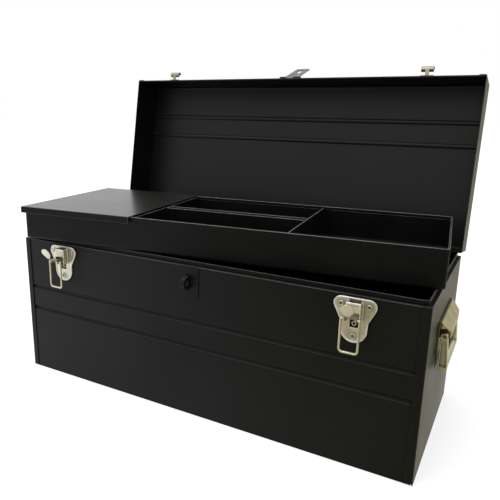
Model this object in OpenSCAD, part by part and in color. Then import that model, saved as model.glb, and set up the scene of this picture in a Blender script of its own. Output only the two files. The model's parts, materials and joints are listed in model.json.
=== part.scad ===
// Folded steel tool case, lid open, with a loose compartment tray lying on its rim.
// Millimetres. Origin on the floor under the middle of the body, +Z up, front towards -Y.

/* [Case] */
// Width over the end pans
case_w = 600; // [540:5:720]
// Depth over the end-pan flanges
case_d = 250; // [248:1:300]
// Height of the body, floor to rim shoulder
body_h = 214; // [190:1:260]
// Depth of the lid, rim to top
lid_h = 62; // [60:1:90]
// Thickness of the folded sheet
sheet_t = 1; // [0.8:0.1:1.2]
// Width of the flanges that the end pans fold round the sheet
end_flange = 10; // [8:0.5:12]
// Outside bend radius of the end pans
bend_r = 2.5; // [2.5:0.1:4]
// Outside bend radius along the top edges of the lid
lid_bend_r = 6; // [4:0.5:8]
// Angle the lid stands open
lid_open = 100; // [90:1:105]
// Gap between the closed lid and the shoulder
lid_gap = 0.3; // [0.2:0.1:0.6]
// Height of the hem folded inside the front edge of the lid
hem_h = 6; // [4:0.5:8]

/* [Rim and beads] */
// Distance from the outside of the case in to the rim lip
lip_inset = 4; // [3.5:0.1:6]
// Height of the rim lip above the shoulder
lip_h = 6; // [4:0.5:7]
// Depth of the rim strip below the shoulder
lip_drop = 14; // [8:1:20]
// Corner radius of the rim lip
lip_r = 7; // [5:0.5:10]
// Radius of the pressed beads
bead_r = 3.6; // [3:0.1:5]
// Depth of the pressed beads
bead_depth = 1.8; // [1:0.1:2]
// Height of the lower body bead
bead_low_z = 102; // [60:1:115]
// Height of the upper body bead
bead_high_z = 137; // [125:1:148]
// Distance of the first lid bead from the front
lid_bead_front = 58; // [40:1:75]
// Distance of the second lid bead from the front
lid_bead_back = 93; // [85:1:120]

/* [Tray] */
// Length of the tray
tray_l = 587; // [540:1:588]
// Depth of the tray, front to back
tray_d = 212; // [180:1:213]
// Height of the tray
tray_h = 47; // [35:0.5:47]
// Turn of the loose tray on the rim
tray_yaw = 6.3; // [4:0.1:6.4]
// Middle of the tray to the right of the case middle
tray_x = 1.6; // [0:0.2:3]
// Middle of the tray in front of the case middle
tray_y = 3.2; // [2:0.2:4]
// Sheet of the tray
tray_t = 1; // [0.8:0.1:1.2]
// Height of the hem folded inside the tray rim
tray_hem = 5; // [4:0.5:7]
// Distance of the cross dividers from the tray ends
bay_l = 184; // [150:1:190]
// How far the dividers stay below the tray rim
divider_drop = 2; // [1.5:0.5:6]
// Outside width of the channel between the long bins
channel_w = 15; // [10:0.5:20]
// Length of the sliding tray cover
cover_l = 184; // [178:1:200]
// How far the cover stands out past the tray walls
cover_side = 7; // [4:0.5:8]
// Height of the cover edges
cover_edge = 9; // [6:0.5:12]
// Reach of the brackets that carry the tray when it lies square
rest_reach = 13; // [11:0.5:16]
// Length of those brackets
rest_w = 84; // [60:2:160]

/* [Lid hinge] */
// Length of the hinge
hinge_l = 570; // [500:2:576]
// Number of hinge knuckles
knuckles = 15; // [11:2:19]
// Radius of the knuckles
knuckle_r = 3.2; // [3:0.1:4]
// Radius of the hinge rod
hinge_rod_r = 1.5; // [1.2:0.1:1.8]
// Height of the hinge leaves
leaf_h = 20; // [16:0.5:24]
// Thickness of the hinge leaves
leaf_t = 1.2; // [1:0.1:1.5]

/* [Latches] */
// Distance of each latch from the case middle
latch_x = 220; // [150:0.5:230]
// Thickness of the latch plates
latch_t = 1.5; // [1.2:0.1:1.6]
// Distance of the ear rivets below the shoulder
latch_ear_drop = 11.5; // [11:0.5:14]
// Half distance between the ear rivets
latch_ear_x = 16; // [15.5:0.5:19]
// Radius of the ears and of the foot of a latch plate
latch_ear_r = 8.5; // [7.5:0.1:9]
// Distance of the lever pin out from the front
lever_out = 7.3; // [7.1:0.1:8]
// Distance of the lever pin below the shoulder
lever_drop = 24; // [24:0.1:25]
// Radius of the lever pin
lever_pin_r = 1.6; // [1.4:0.1:1.8]
// Angle the lever swings to close
lever_swing = 109; // [106:1:111]
// Reach of the lever from its pin out to the bail eyes
eye_reach = 11; // [10.8:0.1:12]
// Radius of the wire of the latch bails
wire_r = 1.4; // [1.2:0.1:1.5]
// Half distance between the bail arms
bail_half = 10.5; // [10.4:0.1:11.5]
// Length of the bail from its eyes to its crossbar
bail_l = 39; // [37:0.2:39.2]
// Radius of the round thumb tab
tab_r = 7.7; // [5:0.1:8]
// Radius of the keeper curl
curl_r = 4; // [3:0.1:4.2]
// Radius of the latch rivets
latch_rivet_r = 3.6; // [3:0.1:4]

/* [Hasp] */
// Width of the hasp leaf
hasp_w = 24; // [20:1:26]
// Length of the hasp leaf from its pin
hasp_l = 62; // [58:1:70]
// Height of the hasp pin above the lid edge
hasp_up = 20; // [18:0.5:24]
// Lean of the raised hasp leaf off the lid
hasp_lean = 27; // [20:1:40]
// Thickness of the hasp leaf
hasp_t = 1.6; // [1.4:0.1:2]
// Radius of the padlock hole in the staple
padlock_r = 4.2; // [3.6:0.1:4.5]
// Thickness of the staple
staple_t = 5.5; // [4:0.1:6]
// Distance of the padlock hole below the shoulder
staple_drop = 22; // [20:0.5:24]
// Width of the plate behind the staple
staple_plate_w = 31; // [26:1:36]
// Height of the plate behind the staple
staple_plate_h = 41; // [36:1:44]

/* [Handles] */
// Length of the handle hoods
handle_w = 98; // [90:1:120]
// Height of the handle rod
handle_z = 155.5; // [120:0.5:160]
// Radius of the handle rod
handle_rod_r = 2.2; // [1.8:0.1:2.5]
// Drop from the handle rod to the middle of the grip
handle_drop = 39; // [36:0.5:44]
// Radius of the grip
grip_r = 5.5; // [5:0.1:6]
// Rise of the hood roof above the handle rod
hood_rise = 17.5; // [14:0.5:22]
// Reach of the hood out from the end pan
hood_out = 13; // [12:0.5:15]
// Taper of each hood end from the roof to the nose
hood_taper = 8; // [0:0.5:9]
// Depth of the handle plate below the rod
plate_drop = 24; // [20:0.5:28]
// Half distance between the handle rivets
handle_rivet_y = 28; // [20:1:32]
// Distance of the handle rivets below the rod
handle_rivet_drop = 15; // [12:0.5:18]
// Radius of the handle rivets
handle_rivet_r = 4; // [3:0.1:4.5]

/* [View] */
// Piece to draw, or all of them

/* [Hidden] */
$fn = 48;
paint = "#1d1e20";
nickel = "#c8c2b2";
grey_steel = "#8f9193";
half_w = case_w / 2;
half_d = case_d / 2;
wrap_y = half_d - sheet_t;
front_y = -wrap_y;
end_in = half_w - sheet_t;
// End of the folded sheets, short of the bend of the end pans
wrap_end = end_in - bend_r + sheet_t;
lid_top = body_h + lid_h;
run_fit = 0.06;
pin_fit = 0.02;
// Lid hinge axis
hinge_y = wrap_y + knuckle_r + 0.3;
hinge_z = body_h + lid_gap / 2;
pitch = hinge_l / knuckles;
knuckle_gap = 0.4;
// Tray
tray_z = body_h + lip_h + 0.15;
cover_t = 1;
cover_gap = 0.2;
// Latch linkage, d out from the front sheet, z up
lever_z = body_h - lever_drop;
eye_rise = 1;
eye_d = lever_out + eye_reach;
eye_z = lever_z + eye_rise;
eye_r = sqrt(eye_reach * eye_reach + eye_rise * eye_rise);
eye_turn = atan2(eye_rise, eye_reach) - lever_swing;
eye_shut_d = lever_out + eye_r * cos(eye_turn);
eye_shut_z = lever_z + eye_r * sin(eye_turn);
bar_shut_d = 4.6;
bar_shut_z = eye_shut_z + sqrt(bail_l * bail_l - (bar_shut_d - eye_shut_d) * (bar_shut_d - eye_shut_d));
lever_half = 6.8;
cheek_in = 7.2;
cheek_t = 1.2;
bridge_top = lever_z + 17.4;
hole_z = lever_z - 9.2;
hole_w = 10;
foot_drop = 29;
foot_rivet_drop = 36.5;
shoulder = 19;
stem_tilt = 35;
tab_tilt = 62;
stem_l = 9;
stem_half = 3.6;
tab_t = 1.2;
// Keeper, with the bail crossbar resting on its tongue
tongue_t = 1.4;
tongue_top = bar_shut_z - wire_r - 0.4;
tongue_low = tongue_top - tongue_t;
keeper_half = 8.8;
keeper_plate_t = 1.2;
curl_d = bar_shut_d + wire_r + 0.5 + curl_r;
curl_t = 1.2;
// Hasp
hasp_d = 4.2;
hasp_z = body_h + hasp_up;
hasp_knuckle_r = 3;
hasp_pin_r = 1.3;
hasp_base_t = 1.2;
hasp_base_half = 18;
hasp_mid = 6;
staple_z = body_h - staple_drop;
staple_plate_t = 1;
eye_wall = 4.3;
slot_half = (padlock_r + eye_wall) + 1.4;
slot_at = hasp_z - staple_z;
// Handle, e out from the end pan
handle_e = 7;
grip_e = 8.5;
grip_z = handle_z - handle_drop;
arm_in = handle_w / 2 - 10;
arm_out = handle_w / 2 - 1;
hood_t = 1.4;
plate_t = 1.2;
roof_z = handle_z + hood_rise;
nose_rise = 6;
nose_z = handle_z + nose_rise;
plate_low = handle_z - plate_drop;
ear_half = 5.5;
ear_low = handle_z - ear_half;

// Draws a flat outline, y across and z up, as a bar from x0 to x1
module along_x(x0, x1) {
    translate([x0, 0, 0])
        rotate([90, 0, 90])
            linear_extrude(x1 - x0)
                children();
}

// Draws a flat outline, x across and z up, as a bar from y0 to y1
module along_y(y0, y1) {
    translate([0, y1, 0])
        rotate([90, 0, 0])
            linear_extrude(y1 - y0)
                children();
}

// Outline with distance out from the front sheet across and z up, from x0 to x1
module front_side(x0, x1) {
    along_x(x0, x1)
        translate([front_y, 0])
            mirror([1, 0])
                children();
}

// Outline with distance out from the right end pan across and z up, from y0 to y1
module end_side(y0, y1) {
    along_y(y0, y1)
        translate([half_w, 0])
            children();
}

// Waste outside a round corner whose material lies towards +x and +y
module corner_cut(r) {
    difference() {
        translate([-1, -1])
            square(r + 1);
        translate([r, r])
            circle(r);
    }
}

// Rectangle with round corners about the middle
module round_rect(w, h, r) {
    difference() {
        square([w, h], center = true);
        translate([-w / 2, -h / 2])
            corner_cut(r);
        translate([w / 2, -h / 2])
            rotate(90)
                corner_cut(r);
        translate([w / 2, h / 2])
            rotate(180)
                corner_cut(r);
        translate([-w / 2, h / 2])
            rotate(270)
                corner_cut(r);
    }
}

// Upright rectangle from low to top with round lower corners
module round_foot(half, low, top, r) {
    difference() {
        translate([-half, low])
            square([2 * half, top - low]);
        translate([-half, low])
            corner_cut(r);
        translate([half, low])
            rotate(90)
                corner_cut(r);
    }
}

// Plan of an end pan from x0 to x1 with two round corners
module end_plan(x0, x1, half, r) {
    difference() {
        translate([x0, -half])
            square([x1 - x0, 2 * half]);
        translate([x1, -half])
            rotate(90)
                corner_cut(r);
        translate([x1, half])
            rotate(180)
                corner_cut(r);
    }
}

// Block of an end pan, its floor at low, with three rounded edges
module pan_block(x0, x1, half, low, top, r, r_low) {
    intersection() {
        translate([0, 0, low])
            linear_extrude(top - low)
                end_plan(x0, x1, half, r);
        along_y(-half, half)
            difference() {
                translate([x0, low])
                    square([x1 - x0, top - low]);
                translate([x1, low])
                    rotate(90)
                        corner_cut(r);
            }
        along_x(x0, x1)
            round_foot(half, low, top, r_low);
    }
}

// Right-hand pan of height h with a flange folded round three sides
module end_pan(h, r_low) {
    difference() {
        pan_block(half_w - end_flange, half_w, half_d, 0, h, bend_r, r_low);
        pan_block(half_w - end_flange - 1, end_in, wrap_y, sheet_t, h + 1, bend_r - sheet_t, r_low - sheet_t);
    }
}

// Folded sheet of height h with its floor at low, open at the top
module wrap_outline(low, h, r_low) {
    difference() {
        round_foot(wrap_y, low, h, r_low - sheet_t);
        round_foot(wrap_y - sheet_t, low + sheet_t, h + 1, r_low - 2 * sheet_t);
    }
}

// Turns lid pieces, drawn shut, to the open position
module lid_pose(a = lid_open) {
    translate([0, hinge_y, hinge_z])
        rotate([-a, 0, 0])
            translate([0, -hinge_y, -hinge_z])
                children();
}

// Sets tray pieces, drawn about the tray's own middle, on the rim
module tray_pose() {
    translate([tray_x, -tray_y, tray_z])
        rotate([0, 0, tray_yaw])
            children();
}

// Round bar along x from x0 to x1
module bar_x(x0, x1, y, z, r) {
    translate([x0, y, z])
        rotate([0, 90, 0])
            cylinder(r = r, h = x1 - x0);
}

// Low domed rivet head standing out from the front sheet by d
module front_rivet(x, d, z, r) {
    translate([x, front_y - d, z])
        rotate([90, 0, 0])
            cylinder(r1 = r, r2 = r * 0.55, h = r * 0.4);
}

// Front, floor and back folded from one sheet, with two pressed beads front and back
module body_wrap() {
    color(paint)
        along_x(-wrap_end, wrap_end)
            difference() {
                union() {
                    wrap_outline(0, body_h - sheet_t, bend_r);
                    intersection() {
                        translate([-wrap_y, 0])
                            square([2 * wrap_y, body_h - sheet_t]);
                        body_beads(bead_r + sheet_t);
                    }
                }
                body_beads(bead_r);
            }
}

// Round sections that press the body beads
module body_beads(r) {
    for (side = [-1, 1])
        for (z = [bead_low_z, bead_high_z])
            translate([side * (wrap_y + bead_r - bead_depth), z])
                circle(r);
}

// End of the body: flanges folded round the front and back, and one tucked in over the floor
module end_right() {
    h = body_h - sheet_t;
    x0 = half_w - end_flange;
    color(paint) {
        difference() {
            intersection() {
                linear_extrude(h)
                    end_plan(x0, half_w, half_d, bend_r);
                along_x(x0, half_w)
                    round_foot(half_d, 0, h, bend_r);
            }
            translate([0, 0, -1])
                linear_extrude(h + 2)
                    end_plan(x0 - 1, end_in, wrap_y, bend_r - sheet_t);
            translate([x0 - 1, -half_d - 1, -1])
                cube([end_in - x0 + 1, case_d + 2, bend_r + 1]);
        }
        translate([x0, -wrap_y + 2 * sheet_t, sheet_t])
            cube([end_flange - sheet_t / 2, 2 * wrap_y - 4 * sheet_t, sheet_t]);
    }
}

module end_left() {
    mirror([1, 0, 0])
        end_right();
}

// Flat shoulder on top of the walls with the lip that the lid closes over
module rim_frame() {
    color(paint) {
        translate([0, 0, body_h - sheet_t])
            linear_extrude(sheet_t)
                difference() {
                    round_rect(case_w, 2 * wrap_y, bend_r);
                    lip_outline(sheet_t / 2);
                }
        translate([0, 0, body_h - lip_drop])
            linear_extrude(lip_drop + lip_h)
                difference() {
                    lip_outline(0);
                    lip_outline(sheet_t);
                }
    }
}

// Plan of the rim lip, drawn in by a distance
module lip_outline(in) {
    round_rect(2 * (half_w - lip_inset - in), 2 * (half_d - lip_inset - in), lip_r - in);
}

// Bracket inside the lip that carries the tray end
module tray_rest_right() {
    lip_in = half_w - lip_inset - sheet_t;
    color(paint)
        along_y(-rest_w / 2, rest_w / 2) {
            translate([lip_in - rest_reach, body_h + lip_h - 1.2])
                square([rest_reach, 1.2]);
            translate([lip_in - 1.2, body_h - lip_drop])
                square([1.2, lip_drop + lip_h - 1]);
        }
}

module tray_rest_left() {
    mirror([1, 0, 0])
        tray_rest_right();
}

// Backing plate of the padlock staple
module staple_plate() {
    color(paint)
        along_y(front_y - staple_plate_t, front_y)
            translate([0, staple_z - 0.5])
                round_rect(staple_plate_w, staple_plate_h, 2);
}

// Upright eye for the padlock
module staple() {
    r = padlock_r + eye_wall;
    color(paint)
        front_side(-staple_t / 2, staple_t / 2)
            difference() {
                union() {
                    translate([staple_plate_t, staple_z - r])
                        square([5.5, 2 * r]);
                    translate([staple_plate_t + 5.5, staple_z])
                        circle(r);
                }
                translate([staple_plate_t + 6, staple_z])
                    circle(padlock_r);
                translate([staple_plate_t - 2 * r, staple_z - 2 * r])
                    square([2 * r, 4 * r]);
            }
}

// Fixed half of the lid hinge
module hinge_body_leaf() {
    color(paint)
        difference() {
            union() {
                translate([-hinge_l / 2, wrap_y, hinge_z - leaf_h])
                    cube([hinge_l, leaf_t, leaf_h - knuckle_r - 0.5]);
                for (i = [0 : 2 : knuckles - 1]) {
                    knuckle(i);
                    translate([knuckle_x(i), wrap_y, hinge_z - leaf_h / 2])
                        cube([pitch - knuckle_gap, leaf_t, leaf_h / 2]);
                }
            }
            bar_x(-hinge_l / 2 - 1, hinge_l / 2 + 1, hinge_y, hinge_z, hinge_rod_r + pin_fit);
        }
}

function knuckle_x(i) = -hinge_l / 2 + i * pitch + knuckle_gap / 2;

module knuckle(i) {
    bar_x(knuckle_x(i), knuckle_x(i) + pitch - knuckle_gap, hinge_y, hinge_z, knuckle_r);
}

// Moving half of the lid hinge, with three tails that stop the open lid
module hinge_lid_leaf() {
    color(paint)
        lid_pose()
            difference() {
                union() {
                    translate([-hinge_l / 2, wrap_y, hinge_z + knuckle_r + 0.5])
                        cube([hinge_l, leaf_t, leaf_h - knuckle_r - 0.5]);
                    for (i = [1 : 2 : knuckles - 2]) {
                        knuckle(i);
                        translate([knuckle_x(i), wrap_y, hinge_z])
                            cube([pitch - knuckle_gap, leaf_t, leaf_h / 2]);
                    }
                    lid_pose(-lid_open)
                        for (i = [1, (knuckles - 1) / 2, knuckles - 2])
                            translate([knuckle_x(i) + 6, wrap_y + leaf_t + 0.05, hinge_z - 10])
                                cube([pitch - knuckle_gap - 12, leaf_t, 8]);
                }
                bar_x(-hinge_l / 2 - 1, hinge_l / 2 + 1, hinge_y, hinge_z, hinge_rod_r + run_fit);
            }
}

module hinge_rod() {
    color(grey_steel)
        bar_x(-hinge_l / 2, hinge_l / 2, hinge_y, hinge_z, hinge_rod_r);
}

// Rivets through the fixed hinge leaf
module hinge_rivets() {
    color(paint)
        for (k = [-3 : 3])
            translate([k * pitch * 2, wrap_y + leaf_t, hinge_z - leaf_h + 5])
                rotate([-90, 0, 0])
                    cylinder(r1 = 3, r2 = 1.8, h = 1.1);
}

// Rivets through the moving hinge leaf
module lid_hinge_rivets() {
    color(paint)
        lid_pose()
            for (k = [-3 : 3])
                translate([k * pitch * 2, wrap_y + leaf_t, hinge_z + leaf_h - 5])
                    rotate([-90, 0, 0])
                        cylinder(r1 = 3, r2 = 1.8, h = 1.1);
}

// Outline of a latch plate, drawn in by a distance
module latch_outline(in) {
    ear_z = body_h - latch_ear_drop;
    foot = latch_ear_x - 0.6;
    foot_z = ear_z - foot_drop;
    for (side = [-1, 1])
        translate([side * latch_ear_x, ear_z])
            circle(latch_ear_r - in);
    translate([-latch_ear_x, ear_z - latch_ear_r + in])
        square([2 * latch_ear_x, 2 * (latch_ear_r - in)]);
    wide = latch_ear_x + (latch_ear_r - in) * 0.9;
    under = ear_z - (latch_ear_r - in) * 0.436;
    polygon([[-wide, under], [wide, under], [foot + 0.6 - in, ear_z - shoulder], [foot - in, foot_z],
        [-foot + in, foot_z], [-foot - 0.6 + in, ear_z - shoulder]]);
    translate([0, foot_z])
        circle(foot - in);
}

// Riveted plate of a latch, with the raised bridge that holds the lever pin
module latch_base(x) {
    color(nickel)
        translate([x, 0, 0]) {
            along_y(front_y - latch_t, front_y)
                difference() {
                    latch_outline(0);
                    translate([-hole_w / 2, hole_z - hole_w / 2])
                        square(hole_w);
                }
            along_y(front_y - latch_t - 0.6, front_y - latch_t)
                difference() {
                    latch_outline(0);
                    latch_outline(1.4);
                }
            for (x0 = [-cheek_in - cheek_t, cheek_in])
                front_side(x0, x0 + cheek_t)
                    difference() {
                        union() {
                            translate([lever_out, lever_z])
                                circle(3.6);
                            polygon([[latch_t, lever_z - 5], [lever_out, lever_z - 3.6],
                                [lever_out + 2.4, lever_z + 2.5], [lever_out + 2.4, bridge_top],
                                [latch_t, bridge_top]]);
                        }
                        translate([lever_out, lever_z])
                            circle(lever_pin_r + pin_fit);
                    }
            front_side(-cheek_in, cheek_in)
                translate([lever_out + 1.2, lever_z + 6])
                    square([1.2, bridge_top - lever_z - 6]);
        }
}

// Pin of a latch lever
module latch_pin(x) {
    half = cheek_in + cheek_t;
    color(nickel)
        bar_x(x - half, x + half, front_y - lever_out, lever_z, lever_pin_r);
}

// Cranked lever with two side cheeks and a round thumb tab
module latch_lever(x) {
    neck_d = eye_d + 4;
    neck_z = eye_z + 3.4;
    color(nickel)
        translate([x, 0, 0])
            difference() {
                union() {
                    for (x0 = [-lever_half, lever_half - 1.2])
                        front_side(x0, x0 + 1.2) {
                            translate([lever_out, lever_z])
                                circle(3);
                            translate([eye_d, eye_z])
                                circle(2.7);
                            polygon([[lever_out, lever_z - 3], [eye_d, eye_z - 2.7],
                                [eye_d + 2.7, eye_z], [neck_d, neck_z - 1.2], [neck_d, neck_z],
                                [lever_out, lever_z + 3]]);
                        }
                    front_side(-lever_half, lever_half)
                        polygon([[lever_out, lever_z + 1.8], [neck_d, neck_z - 1.2],
                            [neck_d, neck_z], [lever_out, lever_z + 3]]);
                    intersection() {
                        front_side(-tab_r - 1, tab_r + 1)
                            tab_side(neck_d, neck_z - 0.1);
                        union() {
                            translate([0, front_y - neck_d, neck_z])
                                rotate([180 - stem_tilt, 0, 0])
                                    translate([0, 0, -4])
                                        linear_extrude(10)
                                            polygon([[-lever_half, -1], [lever_half, -1], [stem_half, 6.5],
                                                [stem_half, stem_l + 4], [-stem_half, stem_l + 4], [-stem_half, 6.5]]);
                            translate([0, front_y - neck_d - stem_l * cos(stem_tilt), neck_z + stem_l * sin(stem_tilt)])
                                rotate([180 - tab_tilt, 0, 0])
                                    translate([0, tab_r + 1, -4])
                                        linear_extrude(10)
                                            circle(tab_r);
                        }
                    }
                }
                bar_x(-9, 9, front_y - lever_out, lever_z, lever_pin_r + run_fit);
                bar_x(-9, 9, front_y - eye_d, eye_z, wire_r + run_fit);
            }
}

// Bent strip of the thumb tab seen from the side
module tab_side(d, z) {
    bend = (stem_tilt + tab_tilt) / 2;
    miter = tab_t / cos((tab_tilt - stem_tilt) / 2);
    bend_d = d + stem_l * cos(stem_tilt);
    bend_z = z + stem_l * sin(stem_tilt);
    tip_d = bend_d + (2 * tab_r + 2) * cos(tab_tilt);
    tip_z = bend_z + (2 * tab_r + 2) * sin(tab_tilt);
    root_d = d - 0.4 * cos(stem_tilt);
    root_z = z - 0.4 * sin(stem_tilt);
    polygon([[root_d, root_z], [bend_d, bend_z], [tip_d, tip_z],
        [tip_d + tab_t * sin(tab_tilt), tip_z - tab_t * cos(tab_tilt)],
        [bend_d + miter * sin(bend), bend_z - miter * cos(bend)],
        [root_d + tab_t * sin(stem_tilt), root_z - tab_t * cos(stem_tilt)]]);
}

// Wire bail that reaches up to the keeper
module latch_bail(x) {
    bend = 4;
    low = eye_z - bail_l;
    y = front_y - eye_d;
    color(nickel)
        translate([x, 0, 0]) {
            for (side = [-1, 1]) {
                translate([side * bail_half, y, low + bend])
                    cylinder(r = wire_r, h = bail_l - bend);
                translate([side * bail_half, y, eye_z])
                    sphere(wire_r);
                bar_x(side * (bail_half + lever_half - 1.6) / 2 - (bail_half - lever_half + 1.6) / 2,
                    side * (bail_half + lever_half - 1.6) / 2 + (bail_half - lever_half + 1.6) / 2,
                    y, eye_z, wire_r);
                translate([side * (bail_half - bend), y, low + bend])
                    rotate([90, 0, 0])
                        rotate([0, 0, side > 0 ? -90 : 180])
                            rotate_extrude(angle = 90)
                                translate([bend, 0])
                                    circle(wire_r);
            }
            bar_x(-bail_half + bend, bail_half - bend, y, low, wire_r);
        }
}

// Rivets of both latches, with the hollow rivet in each square hole
module latch_rivets() {
    color(nickel)
        for (x = [-latch_x, latch_x]) {
            for (side = [-1, 1])
                front_rivet(x + side * latch_ear_x, latch_t, body_h - latch_ear_drop, latch_rivet_r);
            front_rivet(x, latch_t, body_h - latch_ear_drop - foot_rivet_drop, latch_rivet_r);
            along_y(front_y - 1.2, front_y)
                translate([x, hole_z])
                    difference() {
                        circle(3);
                        circle(1.6);
                    }
        }
}

// Keeper on the lid front: plate, narrow tongue and curled head, drawn shut
module keeper(x) {
    color(nickel)
        lid_pose()
            translate([x, 0, 0]) {
                front_side(-keeper_half, keeper_half) {
                    translate([0, tongue_low])
                        square([keeper_plate_t, 26]);
                    difference() {
                        translate([curl_d, tongue_low + curl_r])
                            circle(curl_r);
                        translate([curl_d, tongue_low + curl_r])
                            circle(curl_r - curl_t);
                        translate([curl_d - 2 * curl_r, tongue_low + curl_r])
                            square([2 * curl_r, 2 * curl_r]);
                    }
                }
                front_side(-2.7, 2.7)
                    translate([0.6, tongue_low])
                        square([curl_d - 0.6, tongue_t]);
            }
}

// Rivets of both keepers
module keeper_rivets() {
    color(nickel)
        lid_pose()
            for (x = [-latch_x, latch_x])
                for (side = [-1, 1])
                    front_rivet(x + side * 4.6, keeper_plate_t, tongue_low + 20, 2.6);
}

// Fixed plate and outer knuckles of the hasp, drawn shut
module hasp_base() {
    color(paint)
        lid_pose()
            difference() {
                union() {
                    front_side(-hasp_base_half, hasp_base_half)
                        translate([0, hasp_z - 2])
                            square([hasp_base_t, 24]);
                    for (x0 = [-hasp_base_half, hasp_mid + 0.3])
                        front_side(x0, x0 + hasp_base_half - hasp_mid - 0.3) {
                            translate([hasp_d, hasp_z])
                                circle(hasp_knuckle_r);
                            translate([hasp_base_t / 2, hasp_z])
                                square([hasp_d - hasp_base_t / 2, hasp_knuckle_r]);
                        }
                }
                bar_x(-hasp_base_half - 1, hasp_base_half + 1, front_y - hasp_d, hasp_z, hasp_pin_r + pin_fit);
            }
}

module hasp_pin() {
    color(grey_steel)
        lid_pose()
            bar_x(-hasp_base_half, hasp_base_half, front_y - hasp_d, hasp_z, hasp_pin_r);
}

// Slotted leaf of the hasp, drawn hanging down and then raised
module hasp_leaf() {
    start = hasp_knuckle_r + 0.5;
    color(grey_steel)
        lid_pose()
            translate([0, front_y - hasp_d, hasp_z])
                rotate([hasp_lean - 180, 0, 0])
                    difference() {
                        union() {
                            bar_x(-hasp_mid, hasp_mid, 0, 0, hasp_knuckle_r);
                            along_y(-hasp_t / 2, hasp_t / 2)
                                difference() {
                                    union() {
                                        translate([0, -(start + hasp_l) / 2])
                                            round_rect(hasp_w, hasp_l - start, 3);
                                        translate([-hasp_mid, -start - 4])
                                            square([2 * hasp_mid, start + 4]);
                                    }
                                    translate([0, -slot_at])
                                        round_rect(staple_t + 2.4, 2 * slot_half, 2);
                                }
                        }
                        bar_x(-hasp_mid - 1, hasp_mid + 1, 0, 0, hasp_pin_r + run_fit);
                    }
}

// Back plate, sloping hood and inner ears of the right end handle
module handle_right_plate() {
    ear = arm_in - 1.5;
    color(nickel) {
        end_side(-handle_w / 2, handle_w / 2)
            translate([0, plate_low])
                square([plate_t, roof_z - plate_low]);
        difference() {
            end_side(-handle_w / 2, handle_w / 2)
                polygon([[0, roof_z], [3, roof_z], [hood_out, nose_z], [hood_out - hood_t, nose_z - 0.6],
                    [2.6, roof_z - hood_t], [0, roof_z - hood_t]]);
            for (side = [0, 1])
                mirror([0, side, 0])
                    translate([half_w, handle_w / 2, nose_z - 2])
                        linear_extrude(roof_z - nose_z + 3)
                            polygon([[3, 0], [hood_out, -hood_taper], [hood_out + 1, -hood_taper],
                                [hood_out + 1, 1], [3, 1]]);
        }
        end_side(-ear, ear)
            translate([hood_out - hood_t, ear_low])
                square([hood_t, nose_z - ear_low]);
        for (y0 = [-ear, ear - 2])
            end_side(y0, y0 + 2)
                difference() {
                    polygon([[plate_t / 2, ear_low], [hood_out - hood_t / 2, ear_low],
                        [hood_out - hood_t / 2, handle_z + 3], [handle_e + 3, handle_z + ear_half - 1],
                        [plate_t / 2, handle_z + ear_half]]);
                    translate([handle_e, handle_z])
                        circle(handle_rod_r + pin_fit);
                }
    }
}

module handle_right_rod() {
    color(grey_steel)
        end_side(-arm_out, arm_out)
            translate([handle_e, handle_z])
                circle(handle_rod_r);
}

// Folding grip with two channel arms that turn on the rod
module handle_right_bail() {
    color(nickel) {
        for (side = [0, 1])
            mirror([0, side, 0])
                difference() {
                    end_side(arm_in, arm_out)
                        difference() {
                            union() {
                                translate([handle_e, handle_z])
                                    circle(3.8);
                                translate([grip_e, grip_z])
                                    circle(grip_r);
                                polygon([[handle_e - 3.8, handle_z], [handle_e + 3.8, handle_z],
                                    [grip_e + grip_r, grip_z], [grip_e - grip_r, grip_z]]);
                            }
                            translate([handle_e, handle_z])
                                circle(handle_rod_r + run_fit);
                        }
                    end_side(arm_in + 3, arm_out + 1)
                        polygon([[handle_e - 2.2, handle_z - 6], [handle_e + 2.4, handle_z - 6],
                            [grip_e + grip_r - 1.6, grip_z], [grip_e - grip_r + 1.6, grip_z]]);
                }
        end_side(-arm_in, arm_in)
            difference() {
                translate([grip_e, grip_z])
                    circle(grip_r);
                translate([grip_e, grip_z])
                    circle(grip_r - 1.6);
                translate([grip_e - 2 * grip_r, grip_z - 1.5])
                    square([2 * grip_r, 3]);
            }
    }
}

// Rivets of both handles
module handle_rivets() {
    color(nickel)
        for (side = [0, 1])
            mirror([side, 0, 0])
                for (y = [-handle_rivet_y, handle_rivet_y])
                    translate([half_w + plate_t, y, handle_z - handle_rivet_drop])
                        rotate([0, 90, 0])
                            cylinder(r1 = handle_rivet_r, r2 = handle_rivet_r * 0.55, h = handle_rivet_r * 0.4);
}

module handle_left_plate() {
    mirror([1, 0, 0])
        handle_right_plate();
}

module handle_left_rod() {
    mirror([1, 0, 0])
        handle_right_rod();
}

module handle_left_bail() {
    mirror([1, 0, 0])
        handle_right_bail();
}

// Front, top and back of the lid folded from one sheet, with a hemmed front edge and two beads
module lid_wrap() {
    rim = lid_h - lid_gap;
    color(paint)
        lid_pose()
            translate([0, 0, lid_top])
                mirror([0, 0, 1])
                    along_x(-wrap_end, wrap_end)
                        difference() {
                            union() {
                                wrap_outline(sheet_t, rim, lid_bend_r);
                                translate([-wrap_y + sheet_t / 2, rim - hem_h])
                                    square([1.5 * sheet_t, hem_h]);
                                intersection() {
                                    translate([-wrap_y + 20, sheet_t])
                                        square([2 * wrap_y - 40, 10]);
                                    lid_beads(bead_r + sheet_t);
                                }
                            }
                            lid_beads(bead_r);
                        }
}

// Round sections that press the lid beads
module lid_beads(r) {
    for (y = [lid_bead_front, lid_bead_back])
        translate([y - half_d, sheet_t - bead_r + bead_depth])
            circle(r);
}

module lid_cap_right() {
    color(paint)
        lid_pose()
            translate([0, 0, lid_top])
                mirror([0, 0, 1])
                    end_pan(lid_h - lid_gap, lid_bend_r);
}

module lid_cap_left() {
    mirror([1, 0, 0])
        lid_cap_right();
}

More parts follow.
